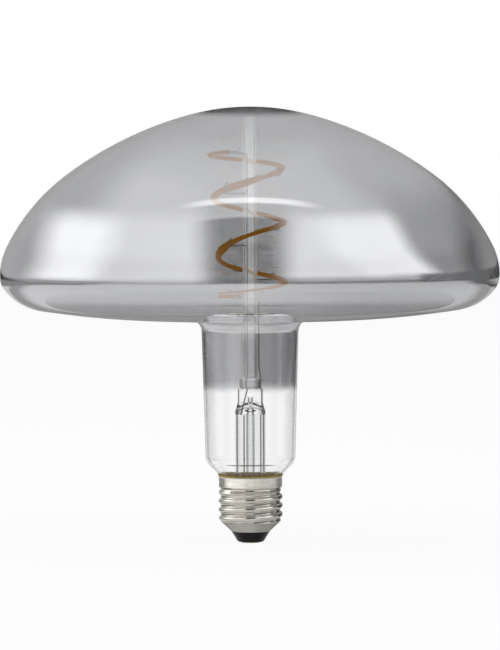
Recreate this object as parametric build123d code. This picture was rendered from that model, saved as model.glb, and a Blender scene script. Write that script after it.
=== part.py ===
"""Mushroom filament bulb: coated glass envelope, spiral LED strip on a glass column, E27 screw cap.

Millimetres. The origin is the underside of the centre contact, on the axis of the cap, and +Z runs up
through the neck to the top of the dome. The front of the bulb looks along -Y.
"""
from build123d import *
from math import asin, atan2, cos, degrees, exp, hypot, radians, sin, tan
import os

# Envelope: the dome's outline is a run of arcs that follow one another without a corner
overall_height = 179.7
dome_diameter = 205.5
equator_height = 110.0
glass_wall = 1.1
crown_turn = 16.0
upper_flank_radius = 152.0
upper_flank_turn = 20.5
lower_flank_turn = 26.5
rim_radius = 29.0
lower_rim_radius = 8.2
lower_rim_turn = 35.0
under_rim_radius = 21.5
under_rim_turn = 46.0
underside_radius = 335.0
neck_fillet = 5.5
neck_top_diameter = 40.0
neck_low_diameter = 36.8
neck_low_height = 35.7
neck_shoulder_radius = 5.0
neck_cone_angle = 44.0
tail_fillet = 3.0
tail_diameter = 22.4
tail_height = 21.5

# Stem: flare, press, exhaust tube
flare_diameter = 12.7
flare_wall = 1.0
flare_lip = 1.0
flare_throat_height = 30.0
press_foot_height = 54.0
press_shoulder = 4.0
press_length = 5.6
press_width = 10.3
press_depth = 4.8
press_corner = 2.0
exhaust_diameter = 3.6
exhaust_wall = 0.75
exhaust_tip_height = 17.0
blow_hole_lift = 2.9

# Column: glass tube that carries the hooks
column_diameter = 5.9
column_wall = 1.0
column_head_room = 3.2
column_foot_diameter = 9.0
column_foot_height = 4.6
column_foot_round = 1.2
column_floor = 3.6

# LED strip: a leaning spiral, closer wound at both ends, drawn up a little in its middle turn
coil_radius = 13.8
coil_flare = 0.7
coil_start = -228.0
coil_end = 960.0
coil_head_room = 18.6
coil_rise = 61.4
coil_middle_slope = 1.43
coil_lift = 3.9
coil_lift_angle = 268.0
coil_lift_span = 97.0
coil_lean = 2.6
strip_width = 3.2
strip_thickness = 1.7
strip_twists = ((185.0, 62.0, 35.0), (615.0, 72.0, 32.0))
strip_step = 30.0
guide_reach = 4.0
tab_length = 4.5
tab_width = 1.8
tab_thickness = 0.3

# Wires
lead_diameter = 0.6
upper_lead_x = -2.6
upper_lead_bore_x = -1.1
lower_lead_x = 4.3
lower_lead_top_x = 3.6
lead_bend = 1.5
lead_overlap = 0.6
hook_diameter = 0.45
hook_angles = (53.0, 119.0, 236.0, 319.0, 596.0, 688.0)
hook_root = 0.7
hook_bend = 0.5
hook_return = 2.0

# Screw cap, E27
thread_pitch = 3.629
thread_crest_diameter = 26.4
thread_depth = 1.05
thread_bearing = 50.0
thread_low_height = 8.6
thread_high_height = 22.4
thread_fade = 1.6
thread_sink = 0.25
thread_root_flat = 0.25
thread_core_lift = 0.06
cap_wall = 0.35
collar_diameter = 26.1
rim_height = 27.4
rim_roll = 0.2
crimp_count = 6
crimp_bearing = -101.0
crimp_height = 25.1
crimp_length = 3.5
crimp_width = 0.7
crimp_depth = 0.25
cone_low_diameter = 16.0
cone_low_height = 4.7
insulator_low_diameter = 10.6
insulator_low_height = 0.3
insulator_edge = 1.1
insulator_floor = 1.8
insulator_bowl_diameter = 7.6
contact_diameter = 8.0
contact_edge = 0.2
rivet_diameter = 2.9
rivet_height = 3.2
cement_low_height = 24.0
cement_top_height = 28.1

# Driver, on a round board that rests on the insulator's ledge
ledge_height = 9.6
ledge_inner_diameter = 16.0
board_diameter = 18.8
board_thickness = 1.0
board_hole_play = 0.12
board_wire_tail = 0.8
capacitor_diameter = 5.0
capacitor_height = 7.0
capacitor_place = (0.0, -5.8)
capacitor_lead_gap = 2.0
capacitor_lead_diameter = 0.45
capacitor_groove = 0.25
chip_length = 4.9
chip_width = 3.9
chip_height = 1.4
chip_place = (0.0, 5.5)
chip_legs = 4
chip_leg_pitch = 1.27
chip_leg_width = 0.4
chip_leg_reach = 1.0
chip_leg_thickness = 0.2
rectifier_size = 4.0
rectifier_height = 1.5
rectifier_place = (0.0, 4.9)
resistor_diameter = 1.8
resistor_length = 3.4
resistor_foot_height = 4.6
shell_wire_diameter = 0.6
shell_wire_x = 7.2
shell_wire_height = 15.0

# Clearances
bond_gap = 0.02
wire_gap = 0.15
solder_gap = 0.1

dome_radius = dome_diameter / 2
dome_rise = overall_height - equator_height
flare_ceiling = press_foot_height - flare_wall
press_low_height = press_foot_height + press_shoulder
press_top_height = press_low_height + press_length
blow_hole_height = press_low_height + blow_hole_lift
column_radius = column_diameter / 2
column_bore = column_radius - column_wall
column_top_height = overall_height - glass_wall - column_head_room
coil_mid_height = overall_height - coil_head_room - coil_rise / 2
lead_radius = lead_diameter / 2
hook_radius = hook_diameter / 2
board_top = ledge_height + board_thickness
collar_radius = collar_diameter / 2
thread_crest = thread_crest_diameter / 2
thread_root = thread_crest - thread_depth


def trace(start, heading, moves):
    """Edges that follow on without a corner: each move is (radius, turn), or (length, 0) if straight."""
    edges = []
    point = Vector(*start)
    direction = Vector(*heading)
    for size, turn in moves:
        if turn:
            edge = JernArc(point, direction, size, turn)
        else:
            edge = Line(point, point + direction * size)
        edges.append(edge)
        point = edge @ 1
        direction = edge % 1
    return edges


def ring(points):
    """Solid of revolution about Z from a closed outline of (radius, height) corners."""
    return revolve(Plane.XZ * make_face(Polyline(*points, close=True)), Axis.Z)


def wire(points, bend, diameter):
    """Round wire along straight runs with bends of one radius."""
    path = FilletPolyline(*points, radius=bend) if len(points) > 2 else Line(*points)
    section = Plane(path @ 0, z_dir=path % 0) * Circle(diameter / 2)
    return sweep(section, path=path)


def post(place, low, high, diameter):
    """Upright round bar."""
    return Pos(place[0], place[1], low) * Cylinder(
        diameter / 2, high - low, align=(Align.CENTER, Align.CENTER, Align.MIN))


def block(place, low, size):
    """Upright box centred on a place."""
    return Pos(place[0], place[1], low) * Box(*size, align=(Align.CENTER, Align.CENTER, Align.MIN))


def crown_and_flank_radii():
    """Radii of the crown and the lower flank that bring the arcs out to the diameter at the equator."""
    ends = [0, crown_turn, crown_turn + upper_flank_turn]
    ends += [ends[-1] + lower_flank_turn, 90]
    out = [sin(radians(b)) - sin(radians(a)) for a, b in zip(ends, ends[1:])]
    down = [cos(radians(a)) - cos(radians(b)) for a, b in zip(ends, ends[1:])]
    rest_out = dome_radius - upper_flank_radius * out[1] - rim_radius * out[3]
    rest_down = dome_rise - upper_flank_radius * down[1] - rim_radius * down[3]
    scale = out[0] * down[2] - out[2] * down[0]
    crown = (rest_out * down[2] - out[2] * rest_down) / scale
    flank = (out[0] * rest_down - rest_out * down[0]) / scale
    return crown, flank


def envelope_moves():
    """The envelope's outside from the top of the dome to the end of the neck's tail."""
    crown, lower_flank = crown_and_flank_radii()
    rim_turn = 90 - crown_turn - upper_flank_turn - lower_flank_turn
    moves = [
        (crown, -crown_turn),
        (upper_flank_radius, -upper_flank_turn),
        (lower_flank, -lower_flank_turn),
        (rim_radius, -rim_turn),
        (lower_rim_radius, -lower_rim_turn),
        (under_rim_radius, -under_rim_turn),
    ]
    under = trace((0, overall_height), (1, 0), moves)[-1] @ 1
    slope = 90 + lower_rim_turn + under_rim_turn

    neck_top = neck_top_diameter / 2
    neck_low = neck_low_diameter / 2
    taper = degrees(atan2(neck_top - neck_low, under.Y - neck_fillet - neck_low_height))
    reach = neck_top - under.X + underside_radius * sin(radians(slope)) + neck_fillet * cos(radians(taper))
    under_end = 180 - degrees(asin(reach / (underside_radius + neck_fillet)))
    moves += [(underside_radius, slope - under_end), (neck_fillet, under_end - 90 - taper)]
    neck_start = trace((0, overall_height), (1, 0), moves)[-1] @ 1

    shoulder_turn = neck_cone_angle - taper
    neck_length = (neck_start.Y - neck_low_height) / cos(radians(taper))
    shoulder_in = neck_shoulder_radius * (cos(radians(taper)) - cos(radians(neck_cone_angle)))
    tail_in = tail_fillet * (1 - cos(radians(neck_cone_angle)))
    neck_end = neck_start.X - neck_length * sin(radians(taper))
    cone_in = neck_end - shoulder_in - tail_in - tail_diameter / 2
    moves += [
        (neck_length, 0),
        (neck_shoulder_radius, -shoulder_turn),
        (cone_in / sin(radians(neck_cone_angle)), 0),
        (tail_fillet, neck_cone_angle),
    ]
    tail_start = trace((0, overall_height), (1, 0), moves)[-1] @ 1
    moves.append((tail_start.Y - tail_height, 0))
    return moves


def envelope_outline(inset):
    """One side of the envelope's wall, at a depth below the outer surface."""
    moves = [(size + (inset if turn > 0 else -inset if turn < 0 else 0), turn)
             for size, turn in envelope_moves()]
    return trace((0, overall_height - inset), (1, 0), moves)


def envelope_filled():
    """Everything inside the envelope's outer surface, for cutting what lies against the glass."""
    outside = envelope_outline(0)
    foot = outside[-1] @ 1
    close = Polyline(foot, (0, foot.Y), (0, overall_height))
    return revolve(Plane.XZ * make_face([*outside, *close.edges()]), Axis.Z)


def glass_envelope():
    outside = envelope_outline(0)
    inside = envelope_outline(glass_wall)
    top = Line(outside[0] @ 0, inside[0] @ 0)
    foot = Line(outside[-1] @ 1, inside[-1] @ 1)
    return revolve(Plane.XZ * make_face([*outside, *inside, top, foot]), Axis.Z)


def stem_flare():
    """Flared tube whose lip is fused to the neck's tail, pressed flat round the lead wires at its top."""
    tube = flare_diameter / 2
    lip = tail_diameter / 2
    lip_inner = lip - glass_wall
    throat = flare_throat_height
    bore = tube - flare_wall
    low = tail_height - flare_lip
    wall = make_face([
        TangentArc((tube, throat), (lip_inner, tail_height), tangent=(0, -1)),
        Line((lip_inner, tail_height), (lip, tail_height)),
        Line((lip, tail_height), (lip, low)),
        Line((lip, low), (lip_inner - flare_lip, low)),
        TangentArc((bore, throat), (lip_inner - flare_lip, low), tangent=(0, -1)),
        Line((bore, throat), (bore, flare_ceiling)),
        Line((bore, flare_ceiling), (0, flare_ceiling)),
        Line((0, flare_ceiling), (0, press_foot_height)),
        Line((0, press_foot_height), (tube, press_foot_height)),
        Line((tube, press_foot_height), (tube, throat)),
    ])
    tube_part = revolve(Plane.XZ * wall, Axis.Z)
    press_face = RectangleRounded(press_width, press_depth, press_corner)
    shoulder = loft([
        Plane.XY.offset(press_foot_height) * Circle(tube - bond_gap),
        Plane.XY.offset(press_low_height) * press_face,
    ])
    press = extrude(Plane.XY.offset(press_low_height) * press_face, press_top_height - press_low_height)
    exhaust_bore = exhaust_diameter / 2 - exhaust_wall
    exhaust_rise = post((0, 0), flare_ceiling, blow_hole_height, 2 * exhaust_bore)
    blow_hole = Pos(0, 0, blow_hole_height) * Rot(90, 0, 0) * Cylinder(exhaust_bore, flare_diameter)
    return tube_part + shoulder + press - exhaust_rise - blow_hole


def exhaust_tube():
    """Thin tube from the press down into the cap, closed by a round tip."""
    outer = exhaust_diameter / 2
    inner = outer - exhaust_wall
    low = exhaust_tip_height + outer
    tip = JernArc((0, exhaust_tip_height), (1, 0), outer, 90)
    cup = JernArc((0, exhaust_tip_height + exhaust_wall), (1, 0), inner, 90)
    wall = make_face([
        tip,
        Line((outer, low), (outer, flare_ceiling)),
        Line((outer, flare_ceiling), (inner, flare_ceiling)),
        Line((inner, flare_ceiling), (inner, low)),
        cup,
        Line((0, exhaust_tip_height + exhaust_wall), (0, exhaust_tip_height)),
    ])
    return revolve(Plane.XZ * wall, Axis.Z)


def support_column():
    """Glass tube on a foot like a bead, with a solid floor and a fire-polished open top."""
    low = press_top_height
    foot = post((0, 0), low, low + column_foot_height, column_foot_diameter)
    foot = fillet(foot.edges().filter_by(GeomType.CIRCLE), column_foot_round)
    edge = column_wall / 2
    top = column_top_height - edge
    tube = post((0, 0), low, top, column_diameter)
    lip = Pos(0, 0, top) * Torus(column_radius - edge, edge)
    bore = post((0, 0), low + column_floor, top + edge, 2 * column_bore)
    return foot + tube + lip - bore


def coil_point(angle):
    """Middle of the LED strip at an angle round the column, 0 at +X and growing as it climbs."""
    middle = (coil_start + coil_end) / 2
    share = (angle - middle) / (coil_end - middle)
    climb = coil_middle_slope * share - (coil_middle_slope - 1) * share ** 3
    up = coil_rise / 2 * climb
    lift = coil_lift * exp(-((angle - coil_lift_angle) / coil_lift_span) ** 2)
    radius = coil_radius + coil_flare * share
    along = radius * cos(radians(angle))
    lean = tan(radians(coil_lean))
    height = coil_mid_height + up + lift + along * lean
    return Vector(along - up * lean, radius * sin(radians(angle)), height)


def strip_twist(angle):
    """How far the flat strip stands on edge, in degrees."""
    return sum(size * exp(-((angle - place) / span) ** 2) for place, size, span in strip_twists)


def strip_width_direction(angle):
    outward = Vector(cos(radians(angle)), sin(radians(angle)), 0)
    twist = radians(strip_twist(angle))
    return outward * cos(twist) + Vector(0, 0, 1) * sin(twist)


def coil_angles():
    count = round((coil_end - coil_start) / strip_step)
    return [coil_start + (coil_end - coil_start) * i / count for i in range(count + 1)]


def coil_path():
    return Spline(*[coil_point(angle) for angle in coil_angles()])


def led_filament():
    """Flat strip with rounded edges, guided so that it lies flat except where it twists."""
    path = coil_path()
    guide = Spline(*[coil_point(a) + strip_width_direction(a) * guide_reach for a in coil_angles()])
    start = Plane(path @ 0, x_dir=strip_width_direction(coil_start), z_dir=path % 0)
    section = start * SlotOverall(strip_width, strip_thickness)
    return sweep(section, path=path, binormal=guide)


def tab_plane(at_top):
    """Plane of a strip end: x along the tab away from the strip, z up."""
    path = coil_path()
    origin = path @ (1 if at_top else 0)
    along = path % 1 if at_top else (path % 0) * -1
    side = Vector(0, 0, 1).cross(along).normalized()
    return Plane(origin, x_dir=along, z_dir=along.cross(side))


def filament_tab(at_top):
    tab = Box(tab_length, tab_width, tab_thickness, align=(Align.MIN, Align.CENTER, Align.CENTER))
    return tab_plane(at_top) * tab


def tab_crossing(at_top):
    """Where a lead wire passes under the middle of a tab, touching it."""
    plane = tab_plane(at_top)
    drop = tab_thickness / 2 + lead_radius + wire_gap
    return plane.from_local_coords(Vector(tab_length / 2, 0, -drop))


def radial(point, reach):
    """Point at the same height and bearing as another, at a distance from the axis."""
    return Vector(point.X, point.Y, 0).normalized() * reach + Vector(0, 0, point.Z)


def upper_lead_wire():
    """From the board through the press and up inside the column, then out to the strip's upper tab."""
    weld = tab_crossing(True)
    far = radial(weld, hypot(weld.X, weld.Y) + lead_overlap)
    return wire([
        (upper_lead_x, 0, ledge_height - board_wire_tail),
        (upper_lead_x, 0, press_low_height),
        (upper_lead_bore_x, 0, press_top_height),
        (upper_lead_bore_x, 0, far.Z),
        far,
    ], lead_bend, lead_diameter)


def lower_lead_wire():
    """From the board through the press and up beside the column, then out to the strip's lower tab."""
    weld = tab_crossing(False)
    far = radial(weld, hypot(weld.X, weld.Y) + lead_overlap)
    return wire([
        (lower_lead_x, 0, ledge_height - board_wire_tail),
        (lower_lead_x, 0, press_top_height + column_foot_height),
        (lower_lead_top_x, 0, press_top_height + 2 * column_foot_height),
        (lower_lead_top_x, 0, far.Z - lead_bend),
        (lower_lead_top_x - lead_bend, column_radius + lead_diameter, far.Z),
        far,
    ], lead_bend / 2, lead_diameter)


def support_hook(angle):
    """Wire fused into the column that passes under the strip and closes over it."""
    seat = coil_point(angle)
    reach = hypot(seat.X, seat.Y)
    twist = radians(strip_twist(angle))
    half_up = strip_width / 2 * abs(sin(twist)) + strip_thickness / 2 * abs(cos(twist))
    half_out = strip_width / 2 * abs(cos(twist)) + strip_thickness / 2 * abs(sin(twist))
    above = half_up + hook_radius + wire_gap
    beyond = reach + half_out + hook_radius + wire_gap
    low = seat - Vector(0, 0, above)
    high = seat + Vector(0, 0, above)
    return wire([
        radial(low, column_radius - hook_root),
        radial(low, beyond),
        radial(high, beyond),
        radial(high, beyond - hook_return),
    ], hook_bend, hook_diameter)


def thread_ridge(inset):
    """Rolled E27 thread: equal round crest and root, run out at both ends."""
    half = thread_pitch / 2
    arc = (thread_depth ** 2 + half ** 2) / (4 * thread_depth)
    crest = arc - inset
    root = arc + inset
    turn = degrees(asin(half / (2 * arc)))
    trim = degrees(asin(thread_root_flat / root))
    low = thread_low_height - thread_pitch
    high = thread_high_height + thread_pitch
    path = Helix(thread_pitch, high - low, thread_root - inset, center=(0, 0, low))
    side = trace((thread_depth, 0), (0, 1), [(crest, turn), (root, trim - turn)])
    edge = side[-1] @ 1
    inner = Polyline(edge, (-thread_sink, edge.Y), (-thread_sink, 0), (thread_depth, 0))
    upper = make_face([*side, *inner.edges()])
    section = Plane(path @ 0, x_dir=(1, 0, 0), z_dir=path % 0) * (upper + mirror(upper, Plane.XZ))
    ridge = sweep(section, path=path, is_frenet=True)
    deep = thread_root - inset - 2 * thread_sink
    foot = thread_root - inset
    top = thread_crest - inset + bond_gap
    barrel = ring([
        (deep, thread_low_height), (foot, thread_low_height), (top, thread_low_height + thread_fade),
        (top, thread_high_height - thread_fade), (foot, thread_high_height), (deep, thread_high_height),
    ])
    return Rot(0, 0, thread_bearing) * ridge & barrel


def cap_body(inset, over):
    """Everything inside the shell's surface at a depth below the outside, run on past both ends."""
    core = thread_root - inset + thread_core_lift
    collar = collar_radius - inset
    slope = atan2(thread_root - cone_low_diameter / 2, thread_low_height - cone_low_height)
    shift = inset * (1 - sin(slope)) / cos(slope)
    cone_low = cone_low_diameter / 2 - inset / cos(slope) - over * tan(slope)
    low = cone_low_height - over
    high = rim_height + over
    body = ring([
        (0, low), (cone_low, low), (core, thread_low_height + shift), (core, thread_high_height),
        (collar, thread_high_height + thread_fade / 2), (collar, rim_height - 2 * rim_roll),
        (collar + rim_roll + over / 2, high), (0, high),
    ])
    return body + thread_ridge(inset)


def crimp_marks():
    """Short grooves round the collar, where it is pressed on to the cement."""
    turn = degrees(crimp_length / collar_radius)
    section = Plane.XZ * Rectangle(2 * crimp_depth, crimp_width)
    groove = revolve(Pos(collar_radius, 0, crimp_height) * section, Axis.Z, turn)
    first = crimp_bearing - turn / 2
    return [Rot(0, 0, first + 360 * i / crimp_count) * groove for i in range(crimp_count)]


def cap_shell():
    shell = cap_body(0, 0) - cap_body(cap_wall, bond_gap)
    return shell - crimp_marks()


def cap_insulator():
    """Black glass that lines the cone, carries the contact below and the board on its ledge above."""
    inner = cap_body(cap_wall + bond_gap, bond_gap)
    lining = inner & post((0, 0), 0, ledge_height, 2 * thread_crest_diameter)
    bottom = insulator_low_diameter / 2
    top = cone_low_diameter / 2
    nose = ring([
        (0, insulator_low_height), (bottom, insulator_low_height),
        (top, cone_low_height - bond_gap), (0, cone_low_height - bond_gap),
    ])
    nose = fillet(nose.edges().sort_by(Axis.Z)[:1], insulator_edge)
    plug = post((0, 0), insulator_low_height + insulator_edge, ledge_height, insulator_bowl_diameter)
    floor = insulator_low_height + insulator_floor
    bowl = ring([
        (0, floor), (insulator_bowl_diameter / 2, floor),
        (ledge_inner_diameter / 2, ledge_height - board_thickness),
        (ledge_inner_diameter / 2, ledge_height), (0, ledge_height),
    ])
    rivet_hole = post((0, 0), 0, floor, rivet_diameter + 2 * bond_gap)
    return lining + nose + plug - bowl - rivet_hole


def centre_contact():
    """Flat round contact with a hollow rivet that holds it in the insulator."""
    disc = post((0, 0), 0, insulator_low_height, contact_diameter)
    disc = fillet(disc.edges().sort_by(Axis.Z)[:1], contact_edge)
    rivet = post((0, 0), insulator_low_height, rivet_height, rivet_diameter)
    hole = post((0, 0), insulator_low_height, rivet_height, lead_diameter + 2 * solder_gap)
    return disc + rivet - hole


def cap_cement(glass):
    """Cement that fills the collar round the neck's tail, with a bead along the glass above the rim."""
    collar = collar_radius - cap_wall - bond_gap
    rim = collar + rim_roll
    bead = rim + (cement_top_height - rim_height) * tan(radians(neck_cone_angle))
    inner = tail_diameter / 2 - glass_wall
    mass = ring([
        (inner, cement_low_height), (collar, cement_low_height),
        (collar, rim_height - 2 * rim_roll), (rim, rim_height),
        (bead, cement_top_height), (inner, cement_top_height),
    ])
    return mass - glass


def driver_board():
    board = post((0, 0), ledge_height, board_top, board_diameter)
    holes = [
        (upper_lead_x, 0, lead_diameter),
        (lower_lead_x, 0, lead_diameter),
        (0, 0, lead_diameter),
        (shell_wire_x, 0, shell_wire_diameter),
    ]
    for side in (-1, 1):
        holes.append((capacitor_place[0] + side * capacitor_lead_gap / 2, capacitor_place[1],
                      capacitor_lead_diameter))
    for x, y, size in holes:
        board -= post((x, y), ledge_height, board_top, size + 2 * board_hole_play)
    return board


def bridge_rectifier():
    """Square package under the board, with its four legs flush on the copper."""
    low = ledge_height - rectifier_height
    body = block(rectifier_place, low, (rectifier_size, rectifier_size, rectifier_height))
    return chamfer(body.faces().sort_by(Axis.Z)[0].edges(), chip_leg_thickness)


def driver_chip():
    """Small package with a row of bent legs along each long side."""
    x, y = chip_place
    body = block(chip_place, board_top + chip_leg_thickness,
                 (chip_length, chip_width, chip_height - chip_leg_thickness))
    body = chamfer(body.faces().sort_by(Axis.Z)[-1].edges(), chip_leg_thickness)
    span = chip_width / 2 + chip_leg_reach / 2
    for i in range(chip_legs):
        leg_x = x + (i - (chip_legs - 1) / 2) * chip_leg_pitch
        for side in (-1, 1):
            foot = (leg_x, y + side * (span + chip_leg_reach / 4))
            body += block(foot, board_top, (chip_leg_width, chip_leg_reach / 2, chip_leg_thickness))
            knee = (leg_x, y + side * span)
            body += block(knee, board_top,
                          (chip_leg_width, chip_leg_thickness, chip_height / 2))
            arm = (leg_x, y + side * (chip_width / 2 + chip_leg_reach / 4))
            body += block(arm, board_top + chip_height / 2 - chip_leg_thickness,
                          (chip_leg_width, chip_leg_reach / 2 + chip_leg_thickness, chip_leg_thickness))
    return body


def smoothing_capacitor():
    """Upright can with a rolled groove near its foot and two leads through the board."""
    can = post(capacitor_place, board_top, board_top + capacitor_height, capacitor_diameter)
    can = fillet(can.edges().sort_by(Axis.Z)[-1:], capacitor_groove)
    groove = Pos(*capacitor_place, board_top + 4 * capacitor_groove) * Torus(
        capacitor_diameter / 2, capacitor_groove)
    can -= groove
    for side in (-1, 1):
        lead = (capacitor_place[0] + side * capacitor_lead_gap / 2, capacitor_place[1])
        can += post(lead, ledge_height - board_wire_tail, board_top, capacitor_lead_diameter)
    return can


def fuse_resistor():
    """Axial resistor between the contact's rivet and the board."""
    body = post((0, 0), resistor_foot_height, resistor_foot_height + resistor_length, resistor_diameter)
    body = fillet(body.edges().filter_by(GeomType.CIRCLE), resistor_diameter / 4)
    leads = post((0, 0), insulator_low_height + solder_gap, board_top + board_wire_tail, lead_diameter)
    return body + leads


def shell_wire():
    """From the board to the inside of the shell, where it is soldered."""
    wall = thread_root - cap_wall - bond_gap
    return wire([
        (shell_wire_x, 0, ledge_height - board_wire_tail),
        (shell_wire_x, 0, shell_wire_height),
        (wall, 0, shell_wire_height),
    ], lead_bend / 2, shell_wire_diameter)


def build():
    """Every piece by its node name, with the glass cut to the wires that are fused into it."""
    pieces = {
        "glass_envelope": glass_envelope(),
        "exhaust_tube": exhaust_tube(),
        "led_filament": led_filament(),
        "upper_filament_tab": filament_tab(True),
        "lower_filament_tab": filament_tab(False),
        "upper_lead_wire": upper_lead_wire(),
        "lower_lead_wire": lower_lead_wire(),
    }
    flare = stem_flare()
    column = support_column()
    for lead in ("upper_lead_wire", "lower_lead_wire"):
        flare -= pieces[lead]
        column -= pieces[lead]
    for number, angle in enumerate(hook_angles, start=1):
        hook = support_hook(angle)
        column -= hook
        pieces[f"support_hook_{number}"] = hook
    pieces["stem_flare"] = flare
    pieces["support_column"] = column
    pieces["cap_shell"] = cap_shell()
    pieces["cap_insulator"] = cap_insulator()
    pieces["centre_contact"] = centre_contact()
    pieces["cap_cement"] = cap_cement(envelope_filled())
    pieces["driver_board"] = driver_board()
    pieces["bridge_rectifier"] = bridge_rectifier()
    pieces["driver_chip"] = driver_chip()
    pieces["smoothing_capacitor"] = smoothing_capacitor()
    pieces["fuse_resistor"] = fuse_resistor()
    pieces["shell_wire"] = shell_wire()
    return pieces


os.makedirs("parts", exist_ok=True)
for name, piece in build().items():
    export_step(piece, f"parts/{name}.step")
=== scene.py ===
"""Mushroom filament bulb: the blown envelope, the finish of every piece, and a plain studio."""
import math
import bmesh
import bpy
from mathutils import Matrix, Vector


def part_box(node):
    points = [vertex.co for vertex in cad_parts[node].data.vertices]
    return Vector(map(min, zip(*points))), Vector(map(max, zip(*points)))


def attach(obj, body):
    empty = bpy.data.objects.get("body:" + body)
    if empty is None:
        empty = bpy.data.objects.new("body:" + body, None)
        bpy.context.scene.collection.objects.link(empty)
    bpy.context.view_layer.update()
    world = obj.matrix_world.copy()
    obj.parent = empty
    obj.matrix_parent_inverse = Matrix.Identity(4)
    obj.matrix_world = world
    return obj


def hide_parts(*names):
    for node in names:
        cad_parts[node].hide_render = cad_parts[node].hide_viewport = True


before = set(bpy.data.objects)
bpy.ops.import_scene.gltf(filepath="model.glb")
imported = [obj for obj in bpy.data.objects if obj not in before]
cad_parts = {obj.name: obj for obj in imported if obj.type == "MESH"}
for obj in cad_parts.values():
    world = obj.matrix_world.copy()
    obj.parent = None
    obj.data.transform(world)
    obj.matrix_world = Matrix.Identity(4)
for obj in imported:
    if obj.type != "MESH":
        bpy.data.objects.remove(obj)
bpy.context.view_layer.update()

MM = 0.001

# Sockets of a Mix node that mixes colours
COLOUR_A = 6
COLOUR_B = 7
COLOUR_OUT = 2

# Envelope, in millimetres and degrees: the dome's outline is a run of arcs without a corner
envelope_low, envelope_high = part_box("glass_envelope")
overall_height = envelope_high.z / MM
tail_height = envelope_low.z / MM
dome_radius = envelope_high.x / MM
equator_height = 110.0
glass_wall = 1.1
crown_turn = 16.0
upper_flank_radius = 152.0
upper_flank_turn = 20.5
lower_flank_turn = 26.5
rim_radius = 29.0
lower_rim_radius = 8.2
lower_rim_turn = 35.0
under_rim_radius = 21.5
under_rim_turn = 46.0
underside_radius = 335.0
neck_fillet = 5.5
neck_top_radius = 20.0
neck_low_radius = 18.4
neck_low_height = 35.7
neck_shoulder_radius = 5.0
neck_cone_angle = 44.0
tail_fillet = 3.0
tail_radius = 11.2
outline_turn_step = 2.5
outline_length_step = 3.0
envelope_sides = 192
merge_distance = 0.001

# Smoked mirror coating: it ends round the neck in a soft edge that wanders a little
coating_edge_low = 62.0
coating_edge_high = 66.0
coating_edge_wander = 1.0
coating_mirror_share = 0.57

# Column: within the dome a painted glow makes it look milky, standing in for the light that the coating
# scatters
column_scatter = 0.12
painted_glow_from = 82.0
painted_glow_full = 96.0

# Camera: it stands far off at the height of the dome and looks slightly down
view_distance = 1500.0
view_height = 149.0
view_centre_height = 89.8
view_tall = 268.0
view_roll = -0.2
view_far_limit = 100000.0
sensor_long_side = 36.0

# Studio, where a tone of 1 is white: the floor's share of white leaves room for the shadow
floor_half_side = 6000.0
floor_white_share = 0.92
fill_tone = 0.6

# What glass that bends the view sees round it: white behind and below, grey in front and far to the sides,
# and dark flags between. Each edge is the part of a direction along one axis where a tone starts and is full
flag_tone = 0.03
front_tone = 0.6
behind_edge = (0.75, 0.95)
front_edge = (-0.4, -0.7)
side_edge = (0.95, 0.98)
below_edge = (-0.25, -0.5)

# Table: two rings that only reflections see. The collar of the cap mirrors the bright one, which the upper
# one hides from the dome
ring_sides = 96
ring_back_tone = 0.3

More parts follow.
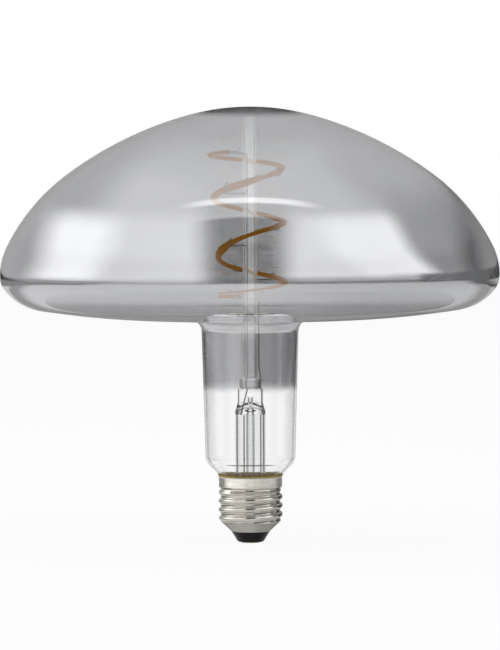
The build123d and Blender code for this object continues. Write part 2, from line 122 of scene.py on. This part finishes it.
# Room: its walls are patches of light and dark that only reflections see. Each is placed where a mirror ball
# at the bulb shows it from the front, -1 to 1 across and up. Its sides and its level edges each have a
# softness, its sides may lean to the right for each step up, and its level edges may bow down to the sides
room_radius = 4000.0
room_sides = 48
room_rows = 24
room_tone = 0.41
room_patches = {
    "left_upper_wall": dict(sides=(-0.62, 0.02), level=(0.5, 0.82), soft=(0.2, 0.2), lean=0.7, shade=0.72),
    "right_upper_wall": dict(sides=(-0.02, 0.5), level=(0.5, 0.82), soft=(0.2, 0.2), lean=-0.7, shade=0.63),
    "right_floor": dict(sides=(0.0, 1.1), level=(-0.78, -0.08), soft=(0.3, 0.08), shade=0.5),
    "left_floor": dict(sides=(-1.1, 0.2), level=(-0.78, -0.08), soft=(0.4, 0.08), shade=0.63),
    "near_floor": dict(sides=(-1.1, 0.3), level=(-1.1, -0.76), soft=(0.4, 0.2), shade=0.31),
    "near_right_floor": dict(sides=(0.1, 1.1), level=(-1.1, -0.76), soft=(0.4, 0.2), shade=0.22),
    "left_shade": dict(sides=(-1.2, -0.82), level=(-0.36, -0.07), soft=(0.06, 0.06), lean=0.95, shade=0.19),
    "left_floor_light": dict(sides=(-0.78, -0.45), level=(-0.56, -0.36), soft=(0.1, 0.1), shade=0.73),
    "left_wall": dict(sides=(-0.68, -0.13), level=(0.0, 0.59), soft=(0.12, 0.1), shade=0.94),
    "left_window": dict(sides=(-0.86, -0.62), level=(0.0, 0.56), soft=(0.16, 0.12), lean=0.25, shade=1.45),
    "right_wall": dict(sides=(0.11, 0.55), level=(0.05, 0.585), soft=(0.12, 0.08), lean=-0.1, shade=0.95),
    "right_window": dict(sides=(0.45, 0.76), level=(0.07, 0.57), soft=(0.14, 0.12), lean=-0.42, shade=1.25),
    "right_corner": dict(sides=(0.76, 1.3), level=(0.0, 0.66), soft=(0.1, 0.24), lean=-0.42, shade=0.21),
    "right_gap": dict(sides=(0.865, 0.94), level=(0.0, 0.52), soft=(0.11, 0.3), lean=-0.2, shade=0.0),
    "right_low_gap": dict(sides=(0.82, 0.92), level=(-0.45, 0.0), soft=(0.08, 0.1), lean=0.1, shade=0.0),
    "doorway": dict(sides=(-0.165, 0.13), level=(-0.04, 0.59), soft=(0.15, 0.03), bow=0.6, shade=0.0),
    "left_skirting": dict(sides=(-0.92, -0.52), level=(-0.075, -0.005), soft=(0.2, 0.02), shade=0.33),
    "right_skirting": dict(sides=(0.1, 1.1), level=(-0.075, 0.0), soft=(0.1, 0.02), shade=0.11),
    "left_end": dict(sides=(-1.1, -0.91), level=(-0.13, -0.03), soft=(0.08, 0.03), shade=0.0),
    "right_end": dict(sides=(0.91, 1.1), level=(-0.13, -0.03), soft=(0.08, 0.03), shade=0.0),
    "right_step": dict(sides=(0.66, 1.0), level=(-0.09, 0.07), soft=(0.05, 0.05), shade=0.0),
    "door_head": dict(sides=(-0.16, 0.14), level=(0.595, 0.655), soft=(0.1, 0.02), bow=0.6, shade=0.48),
    "light_strip": dict(sides=(-0.2, 0.2), level=(0.657, 0.682), soft=(0.16, 0.012), bow=0.6, shade=1.29),
    "back_gap": dict(sides=(-0.5, 0.5), level=(0.962, 1.2), soft=(0.1, 0.03), shade=0.05),
}


def linear(colour):
    """An sRGB hex value as linear RGBA."""
    shares = [int(colour[i:i + 2], 16) / 255 for i in (1, 3, 5)]
    return [s / 12.92 if s <= 0.04045 else ((s + 0.055) / 1.055) ** 2.4 for s in shares] + [1.0]


def add(tree, kind, inputs=None, **settings):
    """Adds one node. Each input is a value, or the socket of another node to link from."""
    made = tree.nodes.new(kind)
    for name, value in settings.items():
        setattr(made, name, value)
    for socket, value in (inputs or {}).items():
        if isinstance(value, bpy.types.NodeSocket):
            tree.links.new(value, made.inputs[socket])
        else:
            made.inputs[socket].default_value = value
    return made


def empty_material(name):
    """A material without nodes, and its tree."""
    material = bpy.data.materials.new(name)
    material.use_nodes = True
    material.node_tree.nodes.clear()
    return material, material.node_tree


def start_material(name, **sockets):
    """A material with one shader: its tree, the shader, and each point's place in the bulb's frame."""
    material, tree = empty_material(name)
    named = {socket.replace("_", " "): value for socket, value in sockets.items()}
    shader = add(tree, "ShaderNodeBsdfPrincipled", named)
    add(tree, "ShaderNodeOutputMaterial", {"Surface": shader.outputs["BSDF"]})
    place = add(tree, "ShaderNodeTexCoord").outputs["Object"]
    return material, tree, shader, place


def per_metre(size):
    """A pattern's scale from the size of one of its grains in millimetres."""
    return 1 / (size * MM)


def mottle(tree, shader, pattern, dark, pale, smooth, rough):
    """Lets a pattern run the colour from dark to pale and the roughness from smooth to rough."""
    colour = add(tree, "ShaderNodeMix", {
        "Factor": pattern.outputs["Fac"],
        COLOUR_A: linear(dark),
        COLOUR_B: linear(pale)}, data_type="RGBA")
    roughness = add(tree, "ShaderNodeMapRange", {
        "Value": pattern.outputs["Fac"], "To Min": smooth, "To Max": rough})
    tree.links.new(colour.outputs[COLOUR_OUT], shader.inputs["Base Color"])
    tree.links.new(roughness.outputs["Result"], shader.inputs["Roughness"])


def smoked_mirror_coating():
    """Blown glass with a thin grey mirror film: half mirror, half smoked window, clear low down."""
    material, tree, shader, place = start_material(
        "smoked_mirror_coating", Roughness=0.0, IOR=1.5, Transmission_Weight=1.0)
    cloud = add(tree, "ShaderNodeTexNoise", {"Vector": place, "Scale": per_metre(30), "Detail": 2.0})
    ripple = add(tree, "ShaderNodeTexNoise", {"Vector": place, "Scale": per_metre(9), "Detail": 1.0})
    height = add(tree, "ShaderNodeSeparateXYZ", {"Vector": place}).outputs["Z"]
    wander = add(tree, "ShaderNodeMapRange", {
        "Value": ripple.outputs["Fac"],
        "To Min": -coating_edge_wander * MM,
        "To Max": coating_edge_wander * MM})
    edge = add(tree, "ShaderNodeMath", {0: height, 1: wander.outputs["Result"]}, operation="ADD")
    film = add(tree, "ShaderNodeMapRange", {
        "Value": edge.outputs["Value"],
        "From Min": coating_edge_low * MM,
        "From Max": coating_edge_high * MM}, interpolation_type="SMOOTHSTEP")
    mirror = add(tree, "ShaderNodeMath", {
        0: film.outputs["Result"], 1: coating_mirror_share}, operation="MULTIPLY")
    smoke = add(tree, "ShaderNodeMix", {
        "Factor": cloud.outputs["Fac"],
        COLOUR_A: linear("#E9EAED"),
        COLOUR_B: linear("#F0F0F2")}, data_type="RGBA")
    tint = add(tree, "ShaderNodeMix", {
        "Factor": film.outputs["Result"],
        COLOUR_A: linear("#FEFEFF"),
        COLOUR_B: smoke.outputs[COLOUR_OUT]}, data_type="RGBA")
    tree.links.new(tint.outputs[COLOUR_OUT], shader.inputs["Base Color"])
    tree.links.new(mirror.outputs["Value"], shader.inputs["Metallic"])
    return material


def clear_glass(name, scatter):
    """Drawn soda-lime tube: colourless, with sharp highlights and faint streaks, and with scatter a painted
    milky glow.
    """
    material, tree, shader, place = start_material(
        name, IOR=1.5, Transmission_Weight=1.0, Emission_Color=linear("#F2F3F0"))
    long_streaks = add(tree, "ShaderNodeMapping", {"Vector": place, "Scale": (1.0, 1.0, 0.05)})
    streak = add(tree, "ShaderNodeTexNoise", {
        "Vector": long_streaks.outputs["Vector"], "Scale": per_metre(2), "Detail": 2.0})
    tint = add(tree, "ShaderNodeMix", {
        "Factor": streak.outputs["Fac"],
        COLOUR_A: linear("#FBFCFC"),
        COLOUR_B: linear("#FFFFFF")}, data_type="RGBA")
    haze = add(tree, "ShaderNodeMapRange", {
        "Value": streak.outputs["Fac"], "To Min": 0.0, "To Max": 0.02})
    tree.links.new(tint.outputs[COLOUR_OUT], shader.inputs["Base Color"])
    tree.links.new(haze.outputs["Result"], shader.inputs["Roughness"])
    if scatter:
        # Painted glow: emission that grows with height stands in for light that the coating scatters onto
        # the column
        height = add(tree, "ShaderNodeSeparateXYZ", {"Vector": place}).outputs["Z"]
        painted_glow = add(tree, "ShaderNodeMapRange", {
            "Value": height,
            "From Min": painted_glow_from * MM,
            "From Max": painted_glow_full * MM,
            "To Max": scatter})
        tree.links.new(painted_glow.outputs["Result"], shader.inputs["Emission Strength"])
    return material


def phosphor_silicone():
    """Cast silicone filled with amber phosphor: a soft orange-brown skin with a fine powdery grain."""
    material, tree, shader, place = start_material(
        "phosphor_silicone", IOR=1.41, Subsurface_Weight=0.25, Subsurface_Scale=0.8 * MM,
        Subsurface_Radius=(1.0, 0.5, 0.2), Coat_Weight=0.15, Coat_Roughness=0.25,
        Emission_Color=linear("#D08C2A"), Emission_Strength=0.47)
    # The glow is painted light, standing in for the light that the dome scatters. The grain is coarser than
    # the real powder, so that it shows
    grain = add(tree, "ShaderNodeTexNoise", {"Vector": place, "Scale": per_metre(0.5), "Detail": 3.0})
    patch = add(tree, "ShaderNodeTexNoise", {"Vector": place, "Scale": per_metre(6), "Detail": 1.0})
    blend = add(tree, "ShaderNodeMath", {
        0: grain.outputs["Fac"], 1: patch.outputs["Fac"]}, operation="MULTIPLY")
    shade = add(tree, "ShaderNodeValToRGB", {"Fac": blend.outputs["Value"]})
    shade.color_ramp.elements[0].color = linear("#94601F")
    shade.color_ramp.elements[0].position = 0.1
    shade.color_ramp.elements[1].color = linear("#BC8438")
    shade.color_ramp.elements[1].position = 0.5
    rough = add(tree, "ShaderNodeMapRange", {
        "Value": grain.outputs["Fac"], "To Min": 0.35, "To Max": 0.6})
    bump = add(tree, "ShaderNodeBump", {
        "Height": grain.outputs["Fac"], "Strength": 0.25, "Distance": 0.1 * MM})
    tree.links.new(shade.outputs["Color"], shader.inputs["Base Color"])
    tree.links.new(rough.outputs["Result"], shader.inputs["Roughness"])
    tree.links.new(bump.outputs["Normal"], shader.inputs["Normal"])
    return material


def nickel_plate():
    """Rolled brass with bright nickel plate: a warm grey mirror with fine marks of the rolling round it."""
    material, tree, shader, place = start_material("nickel_plate", Metallic=1.0)
    # The marks are coarser than those of real rolls, so that they show
    round_marks = add(tree, "ShaderNodeMapping", {"Vector": place, "Scale": (0.12, 0.12, 1.0)})
    marks = add(tree, "ShaderNodeTexNoise", {
        "Vector": round_marks.outputs["Vector"], "Scale": per_metre(0.7), "Detail": 4.0})
    stain = add(tree, "ShaderNodeTexNoise", {"Vector": place, "Scale": per_metre(4), "Detail": 3.0})
    colour = add(tree, "ShaderNodeMix", {
        "Factor": stain.outputs["Fac"],
        COLOUR_A: linear("#DAD5CA"),
        COLOUR_B: linear("#F6F3EC")}, data_type="RGBA")
    rough = add(tree, "ShaderNodeMapRange", {
        "Value": marks.outputs["Fac"], "To Min": 0.04, "To Max": 0.16})
    bump = add(tree, "ShaderNodeBump", {
        "Height": marks.outputs["Fac"], "Strength": 0.08, "Distance": 0.05 * MM})
    tree.links.new(colour.outputs[COLOUR_OUT], shader.inputs["Base Color"])
    tree.links.new(rough.outputs["Result"], shader.inputs["Roughness"])
    tree.links.new(bump.outputs["Normal"], shader.inputs["Normal"])
    return material


def nickel_wire():
    """Drawn nickel wire: dull silver-grey, a little uneven from drawing and from the flame."""
    material, tree, shader, place = start_material("nickel_wire", Metallic=1.0)
    drawn = add(tree, "ShaderNodeTexNoise", {"Vector": place, "Scale": per_metre(1.5), "Detail": 3.0})
    mottle(tree, shader, drawn, dark="#8E8A84", pale="#C9C6C0", smooth=0.22, rough=0.45)
    return material


def black_glass():
    """Pressed black glass: deep glossy black with a slight swirl where it flowed in the mould."""
    material, tree, shader, place = start_material("black_glass", IOR=1.55, Specular_IOR_Level=0.2)
    swirl = add(tree, "ShaderNodeTexNoise", {
        "Vector": place, "Scale": per_metre(3), "Detail": 3.0, "Distortion": 0.8})
    mottle(tree, shader, swirl, dark="#050607", pale="#0E1013", smooth=0.08, rough=0.3)
    return material


def brass_contact():
    """Stamped brass eyelet: pale yellow metal with faint tarnish."""
    material, tree, shader, place = start_material("brass_contact", Metallic=1.0)
    tarnish = add(tree, "ShaderNodeTexNoise", {"Vector": place, "Scale": per_metre(2.5), "Detail": 4.0})
    mottle(tree, shader, tarnish, dark="#A98E56", pale="#DCC792", smooth=0.2, rough=0.45)
    return material


def capping_cement():
    """Baked resin cement: yellow-brown, matt and gritty, darker where the resin has cooked."""
    material, tree, shader, place = start_material(
        "capping_cement", IOR=1.5, Emission_Color=linear("#A08A50"), Emission_Strength=0.25)
    # The glow is painted light, standing in for the light that the clear neck lets down to it
    cooked = add(tree, "ShaderNodeTexNoise", {"Vector": place, "Scale": per_metre(5), "Detail": 3.0})
    grit = add(tree, "ShaderNodeTexNoise", {"Vector": place, "Scale": per_metre(0.4), "Detail": 2.0})
    shade = add(tree, "ShaderNodeValToRGB", {"Fac": cooked.outputs["Fac"]})
    shade.color_ramp.elements[0].color = linear("#5F5330")
    shade.color_ramp.elements[0].position = 0.3
    shade.color_ramp.elements[1].color = linear("#B09A52")
    shade.color_ramp.elements[1].position = 0.7
    rough = add(tree, "ShaderNodeMapRange", {
        "Value": grit.outputs["Fac"], "To Min": 0.55, "To Max": 0.85})
    bump = add(tree, "ShaderNodeBump", {
        "Height": grit.outputs["Fac"], "Strength": 0.4, "Distance": 0.1 * MM})
    tree.links.new(shade.outputs["Color"], shader.inputs["Base Color"])
    tree.links.new(rough.outputs["Result"], shader.inputs["Roughness"])
    tree.links.new(bump.outputs["Normal"], shader.inputs["Normal"])
    return material


def board_laminate():
    """Glass-cloth laminate under green lacquer: the weave shows as a faint grid."""
    material, tree, shader, place = start_material("board_laminate", Roughness=0.35, Coat_Weight=0.3)
    weave = add(tree, "ShaderNodeTexChecker", {
        "Vector": place, "Scale": per_metre(0.5), "Color1": linear("#1D5A35"), "Color2": linear("#27693F")})
    tree.links.new(weave.outputs["Color"], shader.inputs["Base Color"])
    return material


def moulding_compound():
    """Black epoxy moulding compound: charcoal, matt from the spark-eroded mould."""
    material, tree, shader, place = start_material("moulding_compound", IOR=1.55)
    erosion = add(tree, "ShaderNodeTexNoise", {"Vector": place, "Scale": per_metre(0.15), "Detail": 2.0})
    mottle(tree, shader, erosion, dark="#17181A", pale="#2B2C2E", smooth=0.5, rough=0.75)
    return material


def capacitor_can():
    """Drawn aluminium can: satin silver with fine marks of the drawing along it."""
    material, tree, shader, place = start_material("capacitor_can", Metallic=1.0)
    along = add(tree, "ShaderNodeMapping", {"Vector": place, "Scale": (1.0, 1.0, 0.08)})
    marks = add(tree, "ShaderNodeTexNoise", {
        "Vector": along.outputs["Vector"], "Scale": per_metre(0.3), "Detail": 3.0})
    mottle(tree, shader, marks, dark="#B9BCC0", pale="#DCDEE1", smooth=0.25, rough=0.5)
    return material


def resistor_coating():
    """Dipped flameproof lacquer: pale grey-blue, slightly uneven, eggshell gloss."""
    material, tree, shader, place = start_material("resistor_coating", IOR=1.5)
    dip = add(tree, "ShaderNodeTexNoise", {"Vector": place, "Scale": per_metre(1.2), "Detail": 2.0})
    mottle(tree, shader, dip, dark="#7E8F96", pale="#A5B4B8", smooth=0.35, rough=0.55)
    return material


def copper_wire():
    """Drawn bare copper: warm red-brown metal, duller in patches."""
    material, tree, shader, place = start_material("copper_wire", Metallic=1.0)
    dull = add(tree, "ShaderNodeTexNoise", {"Vector": place, "Scale": per_metre(1.5), "Detail": 3.0})
    mottle(tree, shader, dull, dark="#A9623F", pale="#D99A74", smooth=0.25, rough=0.5)
    return material


def turned(heading, turn):
    """A unit step across the heading, to the side that an arc turns to."""
    side = math.copysign(1, turn)
    return Vector((-math.sin(heading), math.cos(heading))) * side


def follow(place, heading, moves):
    """Where a run of moves ends: each is (radius, turn), or (length, 0) for a straight run."""
    for size, turn in moves:
        if turn:
            centre = place + turned(heading, turn) * size
            heading += math.radians(turn)
            place = centre - turned(heading, turn) * size
        else:
            place = place + Vector((math.cos(heading), math.sin(heading))) * size
    return place


def crown_and_flank_radii():
    """Radii of the crown and the lower flank that bring the arcs to the dome's radius at the equator."""
    ends = [0, crown_turn, crown_turn + upper_flank_turn]
    ends += [ends[-1] + lower_flank_turn, 90]
    ends = [math.radians(end) for end in ends]
    out = [math.sin(end) - math.sin(start) for start, end in zip(ends, ends[1:])]
    down = [math.cos(start) - math.cos(end) for start, end in zip(ends, ends[1:])]
    dome_rise = overall_height - equator_height
    rest_out = dome_radius - upper_flank_radius * out[1] - rim_radius * out[3]
    rest_down = dome_rise - upper_flank_radius * down[1] - rim_radius * down[3]
    scale = out[0] * down[2] - out[2] * down[0]
    crown = (rest_out * down[2] - out[2] * rest_down) / scale
    flank = (out[0] * rest_down - rest_out * down[0]) / scale
    return crown, flank


def envelope_moves(top):
    """The envelope's outside from the top of the dome to the end of the neck's tail."""
    crown, lower_flank = crown_and_flank_radii()
    moves = [
        (crown, -crown_turn),
        (upper_flank_radius, -upper_flank_turn),
        (lower_flank, -lower_flank_turn),
        (rim_radius, crown_turn + upper_flank_turn + lower_flank_turn - 90),
        (lower_rim_radius, -lower_rim_turn),
        (under_rim_radius, -under_rim_turn),
    ]
    under = follow(top, 0, moves)
    slope = 90 + lower_rim_turn + under_rim_turn
    taper = math.atan2(neck_top_radius - neck_low_radius, under.y - neck_fillet - neck_low_height)
    reach = neck_top_radius - under.x + underside_radius * math.sin(math.radians(slope))
    reach += neck_fillet * math.cos(taper)
    under_end = 180 - math.degrees(math.asin(reach / (underside_radius + neck_fillet)))
    moves += [
        (underside_radius, slope - under_end),
        (neck_fillet, under_end - 90 - math.degrees(taper)),
    ]
    neck_start = follow(top, 0, moves)
    cone = math.radians(neck_cone_angle)
    neck_length = (neck_start.y - neck_low_height) / math.cos(taper)
    neck_end = neck_start.x - neck_length * math.sin(taper)
    shoulder_in = neck_shoulder_radius * (math.cos(taper) - math.cos(cone))
    tail_in = tail_fillet * (1 - math.cos(cone))
    moves += [
        (neck_length, 0),
        (neck_shoulder_radius, math.degrees(taper) - neck_cone_angle),
        ((neck_end - shoulder_in - tail_in - tail_radius) / math.sin(cone), 0),
        (tail_fillet, neck_cone_angle),
    ]
    moves.append((follow(top, 0, moves).y - tail_height, 0))
    return moves


def draw_outline(mesh, top, moves):
    """Draws the moves as edges in the XZ plane: a point is spun round an arc or drawn straight on."""
    tip = mesh.verts.new((top.x, 0, top.y))
    heading = 0.0
    for size, turn in moves:
        place = Vector((tip.co.x, tip.co.z))
        length = size * math.radians(abs(turn)) if turn else size
        steps = math.ceil(max(abs(turn) / outline_turn_step, length / outline_length_step))
        centre = place + turned(heading, turn) * size
        ahead = Vector((math.cos(heading), 0, math.sin(heading))) * size / steps
        drawn = bmesh.ops.spin(
            mesh, geom=[tip], cent=(centre.x, 0, centre.y), axis=(0, -1, 0),
            angle=math.radians(turn), dvec=(0, 0, 0) if turn else ahead, steps=steps)
        tip = drawn["geom_last"][0]
        heading += math.radians(turn)


def new_object(mesh, name):
    """Makes the mesh an object of the scene."""
    data = bpy.data.meshes.new(name)
    mesh.to_mesh(data)
    mesh.free()
    made = bpy.data.objects.new(name, data)
    bpy.context.scene.collection.objects.link(made)
    return made


def show_in_reflections_only(thing):
    """Hides a piece of the studio from all but the glass and the metal that reflect it."""
    thing.visible_camera = False
    thing.visible_diffuse = False
    thing.visible_transmission = False
    thing.visible_shadow = False


def finish_piece(mesh, name, materials, node):
    """Closes the mesh, turns its faces outwards, and puts it in the place of its node, in metres."""
    bmesh.ops.scale(mesh, vec=(MM, MM, MM), verts=mesh.verts)
    bmesh.ops.remove_doubles(mesh, verts=mesh.verts, dist=merge_distance * MM)
    bmesh.ops.recalc_face_normals(mesh, faces=mesh.faces)
    for face in mesh.faces:
        face.smooth = True
    piece = new_object(mesh, name)
    for material in materials:
        piece.data.materials.append(material)
    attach(piece, "root")
    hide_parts(node)
    return piece


def blown_envelope(coating, glass):
    """The envelope in one spin, coated outside, with the wall's thickness on its inside."""
    mesh = bmesh.new()
    top = Vector((0, overall_height))
    draw_outline(mesh, top, envelope_moves(top))
    bmesh.ops.spin(
        mesh, geom=mesh.verts[:] + mesh.edges[:], cent=(0, 0, 0), axis=(0, 0, 1),
        angle=math.tau, steps=envelope_sides, use_merge=True)
    piece = finish_piece(mesh, "blown_envelope", [coating, glass], "glass_envelope")
    wall = piece.modifiers.new("wall", "SOLIDIFY")
    wall.thickness = glass_wall * MM
    wall.offset = -1.0
    wall.use_even_offset = True
    wall.material_offset = 1
    wall.material_offset_rim = 1
    return piece


def finish_nodes(finishes):
    """Gives every node of the frame the finish of its material slot."""
    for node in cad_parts.values():
        for place in node.material_slots:
            place.material = finishes[place.material.name]


def lay_floor():
    """A pale floor that is white to the camera and keeps the bulb's soft shadow."""
    mesh = bmesh.new()
    bmesh.ops.create_grid(mesh, x_segments=1, y_segments=1, size=floor_half_side * MM)
    floor = new_object(mesh, "floor")
    material, tree = empty_material("pale_floor")
    paper = add(tree, "ShaderNodeBsdfDiffuse", {"Color": linear("#EDEDED")})
    white = add(tree, "ShaderNodeEmission", {"Color": linear("#FFFFFF"), "Strength": 1.0})
    path = add(tree, "ShaderNodeLightPath")
    share = add(tree, "ShaderNodeMath", {
        0: path.outputs["Is Camera Ray"], 1: floor_white_share}, operation="MULTIPLY")
    mix = add(tree, "ShaderNodeMixShader", {
        0: share.outputs["Value"], 1: paper.outputs["BSDF"], 2: white.outputs["Emission"]})
    add(tree, "ShaderNodeOutputMaterial", {"Surface": mix.outputs["Shader"]})
    floor.data.materials.append(material)
    floor.visible_glossy = False
    floor.visible_transmission = False


def face_the_bulb(thing, azimuth, elevation, distance):
    """Stands a lamp off at an azimuth (0 is in front, 90 to the right), turned to the dome."""
    bearing = math.radians(azimuth)
    lift = math.radians(elevation)
    out = Vector((math.sin(bearing) * math.cos(lift), -math.cos(bearing) * math.cos(lift), math.sin(lift)))
    thing.location = out * distance * MM + Vector((0, 0, equator_height * MM))
    thing.rotation_euler = out.to_track_quat("Z", "Y").to_euler()


def between(tree, value, low, high, soft):
    """A share of 1 between two limits that falls to 0 over a soft edge."""
    off = add(tree, "ShaderNodeMath", {0: value, 1: (low + high) / 2}, operation="SUBTRACT")
    away = add(tree, "ShaderNodeMath", {0: off.outputs["Value"]}, operation="ABSOLUTE")
    half = (high - low) / 2
    return add(tree, "ShaderNodeMapRange", {
        "Value": away.outputs["Value"], "From Min": half + soft / 2, "From Max": half - soft / 2},
        interpolation_type="SMOOTHSTEP").outputs["Result"]


def paint_patch(tree, tone, across, up, sides, level, soft, shade, lean=0.0, bow=0.0):
    """Lays one patch over a tone: across and up say where each direction lies on the mirror ball."""
    rise = add(tree, "ShaderNodeMath", {0: up, 1: level[0]}, operation="SUBTRACT")
    upright = add(tree, "ShaderNodeMath", {
        0: rise.outputs["Value"], 1: -lean, 2: across}, operation="MULTIPLY_ADD")
    spread = add(tree, "ShaderNodeMath", {0: across, 1: across}, operation="MULTIPLY")
    flat = add(tree, "ShaderNodeMath", {
        0: spread.outputs["Value"], 1: bow, 2: up}, operation="MULTIPLY_ADD")
    share = add(tree, "ShaderNodeMath", {
        0: between(tree, upright.outputs["Value"], *sides, soft[0]),
        1: between(tree, flat.outputs["Value"], *level, soft[1])}, operation="MULTIPLY")
    painted = add(tree, "ShaderNodeMix", {
        "Factor": share.outputs["Value"], "A": tone, "B": shade}, data_type="FLOAT")
    return painted.outputs["Result"]


def lay_ring(name, inner_radius, outer_radius, height, left_tone, right_tone, back_start):
    """A flat ring round the bulb for reflections, which dims from back_start on behind the bulb."""
    mesh = bmesh.new()
    bmesh.ops.create_circle(mesh, segments=ring_sides, radius=inner_radius * MM)
    rim = bmesh.ops.extrude_edge_only(mesh, edges=mesh.edges[:])["geom"]
    outer = [part for part in rim if isinstance(part, bmesh.types.BMVert)]
    spread = outer_radius / inner_radius
    bmesh.ops.scale(mesh, vec=(spread, spread, 1), verts=outer)
    ring = new_object(mesh, name)
    ring.location.z = height * MM
    material, tree = empty_material(name)
    place = add(tree, "ShaderNodeTexCoord").outputs["Object"]
    parts = add(tree, "ShaderNodeSeparateXYZ", {"Vector": place})
    side = add(tree, "ShaderNodeMapRange", {
        "Value": parts.outputs["X"],
        "From Min": -inner_radius * MM,
        "From Max": inner_radius * MM,
        "To Min": left_tone,
        "To Max": right_tone})
    back = add(tree, "ShaderNodeMapRange", {
        "Value": parts.outputs["Y"],
        "From Min": back_start * MM,
        "From Max": (back_start + inner_radius / 2) * MM})
    tone = add(tree, "ShaderNodeMix", {
        "Factor": back.outputs["Result"],
        "A": side.outputs["Result"],
        "B": ring_back_tone}, data_type="FLOAT")
    light = add(tree, "ShaderNodeEmission", {"Strength": tone.outputs["Result"]})
    add(tree, "ShaderNodeOutputMaterial", {"Surface": light.outputs["Emission"]})
    ring.data.materials.append(material)
    show_in_reflections_only(ring)


def build_room():
    """A round room that the glass and the metal reflect. It lights nothing."""
    mesh = bmesh.new()
    bmesh.ops.create_uvsphere(
        mesh, u_segments=room_sides, v_segments=room_rows, radius=room_radius * MM)
    room = new_object(mesh, "room")
    room.location.z = equator_height * MM
    material, tree = empty_material("room_walls")
    place = add(tree, "ShaderNodeTexCoord").outputs["Object"]
    outwards = add(tree, "ShaderNodeVectorMath", {0: place}, operation="NORMALIZE")
    towards_front = add(tree, "ShaderNodeVectorMath", {
        0: outwards.outputs["Vector"], 1: (0, -1, 0)}, operation="ADD")
    on_ball = add(tree, "ShaderNodeVectorMath", {0: towards_front.outputs["Vector"]}, operation="NORMALIZE")
    parts = add(tree, "ShaderNodeSeparateXYZ", {"Vector": on_ball.outputs["Vector"]})
    tone = room_tone
    for patch in room_patches.values():
        tone = paint_patch(tree, tone, parts.outputs["X"], parts.outputs["Z"], **patch)
    light = add(tree, "ShaderNodeEmission", {"Strength": tone})
    add(tree, "ShaderNodeOutputMaterial", {"Surface": light.outputs["Emission"]})
    room.data.materials.append(material)
    show_in_reflections_only(room)


def hang_softbox(name, azimuth, elevation, distance, width, height, brightness):
    """A soft lamp whose face has the given brightness, where 1 is white."""
    data = bpy.data.lights.new(name, "AREA")
    data.shape = "RECTANGLE"
    data.size = width * MM
    data.size_y = height * MM
    data.energy = brightness * math.pi * data.size * data.size_y
    lamp = bpy.data.objects.new(name, data)
    bpy.context.scene.collection.objects.link(lamp)
    face_the_bulb(lamp, azimuth, elevation, distance)
    lamp.visible_camera = False
    lamp.visible_glossy = False
    lamp.visible_transmission = False


def light_the_world():
    """White where it is seen, a plain level where it lights. Glass that bends the view sees flags too."""
    world = bpy.data.worlds.new("studio")
    bpy.context.scene.world = world
    world.use_nodes = True
    tree = world.node_tree
    tree.nodes.clear()
    path = add(tree, "ShaderNodeLightPath")
    towards = add(tree, "ShaderNodeTexCoord").outputs["Generated"]
    parts = add(tree, "ShaderNodeSeparateXYZ", {"Vector": towards})
    across = add(tree, "ShaderNodeMath", {0: parts.outputs["X"]}, operation="ABSOLUTE")
    openings = [
        (parts.outputs["Y"], behind_edge, 1.0),
        (parts.outputs["Y"], front_edge, front_tone),
        (across.outputs["Value"], side_edge, front_tone),
        (parts.outputs["Z"], below_edge, 1.0),
    ]
    field = flag_tone
    for way, (start, full), tone in openings:
        opening = add(tree, "ShaderNodeMapRange", {
            "Value": way, "From Min": start, "From Max": full, "To Min": flag_tone, "To Max": tone})
        field = add(tree, "ShaderNodeMath", {
            0: field, 1: opening.outputs["Result"]}, operation="MAXIMUM").outputs["Value"]
    level = add(tree, "ShaderNodeMix", {
        "Factor": path.outputs["Is Transmission Ray"], "A": fill_tone, "B": field}, data_type="FLOAT")
    strength = add(tree, "ShaderNodeMix", {
        "Factor": path.outputs["Is Camera Ray"], "A": level.outputs["Result"], "B": 1.0}, data_type="FLOAT")
    light = add(tree, "ShaderNodeBackground", {
        "Color": linear("#FFFFFF"), "Strength": strength.outputs["Result"]})
    add(tree, "ShaderNodeOutputWorld", {"Surface": light.outputs["Background"]})


def set_camera():
    """The photograph's view, which takes in view_tall from top to bottom at the bulb."""
    data = bpy.data.cameras.new("camera")
    camera = bpy.data.objects.new("camera", data)
    bpy.context.scene.collection.objects.link(camera)
    camera.location = Vector((0, -view_distance, view_height)) * MM
    aim = Vector((0, 0, view_centre_height)) * MM - camera.location
    camera.rotation_euler = aim.to_track_quat("-Z", "Y").to_euler()
    camera.rotation_euler.rotate_axis("Z", math.radians(view_roll))
    data.lens = sensor_long_side * aim.length / MM / view_tall
    data.clip_end = view_far_limit * MM
    bpy.context.scene.camera = camera


clear = clear_glass("clear_glass", 0.0)
finishes = {
    "coated_glass": smoked_mirror_coating(),
    "clear_glass": clear,
    "phosphor_silicone": phosphor_silicone(),
    "nickel_wire": nickel_wire(),
    "nickel_plate": nickel_plate(),
    "black_glass": black_glass(),
    "brass_contact": brass_contact(),
    "capping_cement": capping_cement(),
    "board_laminate": board_laminate(),
    "moulding_compound": moulding_compound(),
    "capacitor_can": capacitor_can(),
    "resistor_coating": resistor_coating(),
    "copper_wire": copper_wire(),
}
finish_nodes(finishes)
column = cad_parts["support_column"]
# The column gets a painted milky glow, standing in for light that the coating scatters inside the dome
column.material_slots[0].material = clear_glass("column_glass_painted_glow", column_scatter)
blown_envelope(finishes["coated_glass"], clear)

lay_floor()
light_the_world()
build_room()
lay_ring(
    "bright_table", inner_radius=262, outer_radius=350, height=0,
    left_tone=1.5, right_tone=0.85, back_start=0)
lay_ring(
    "table_top", inner_radius=170, outer_radius=440, height=15,
    left_tone=0.72, right_tone=0.58, back_start=115)
hang_softbox(
    "left_softbox", azimuth=-90, elevation=30, distance=1300,
    width=1500, height=1500, brightness=1.4)
hang_softbox(
    "right_softbox", azimuth=65, elevation=30, distance=1300,
    width=800, height=1500, brightness=1.2)
set_camera()
bpy.context.scene.view_settings.view_transform = "Standard"
